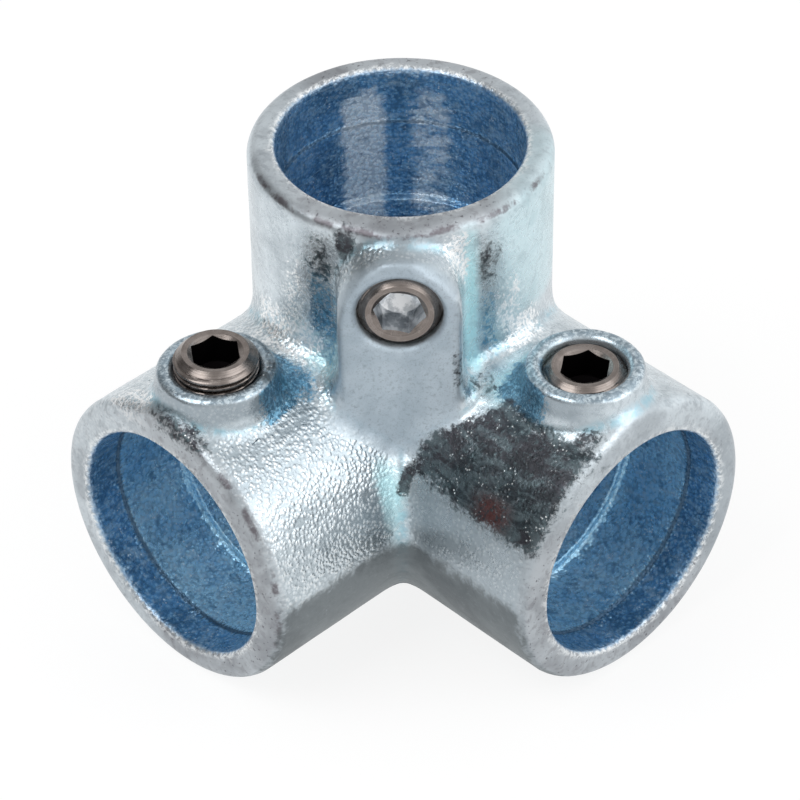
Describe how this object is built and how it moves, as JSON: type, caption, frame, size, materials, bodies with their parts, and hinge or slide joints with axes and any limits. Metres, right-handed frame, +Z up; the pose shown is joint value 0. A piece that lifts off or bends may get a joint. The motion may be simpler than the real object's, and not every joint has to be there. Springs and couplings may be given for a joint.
{
  "type": "three-way corner tube clamp fitting",
  "caption": "Galvanised cast three-way corner fitting for round tube, with a hexagon-socket set screw in each of its right-angled sockets.",
  "frame": {"origin": "centre of the upright socket's tube stop, on that socket's axis", "axes": "+Z up out of the upright socket; +X and +Y out of the two side sockets, whose axes meet the upright's 34 mm below the origin"},
  "size_m": [0.0964, 0.0964, 0.0961],
  "materials": {
    "galvanised": "hot-dip galvanised, pebbly",
    "screw_steel": "satin machined"
  },
  "bodies": {
    "casting": {"casting": "galvanised"},
    "screw_x": {"set_screw_x": "screw_steel"},
    "screw_y": {"set_screw_y": "screw_steel"},
    "screw_z": {"set_screw_z": "screw_steel"}
  },
  "joints": [
    {"name": "screw_x_travel", "type": "slide", "parent": "casting", "child": "screw_x", "axis": [0, 0, 1], "range_m": [-0.0055, 0.0025]},
    {"name": "screw_y_travel", "type": "slide", "parent": "casting", "child": "screw_y", "axis": [0, 0, 1], "range_m": [-0.0016, 0.0064]},
    {"name": "screw_z_travel", "type": "slide", "parent": "casting", "child": "screw_z", "axis": [0.7071, 0.7071, 0], "range_m": [-0.0013, 0.0067]}
  ]
}
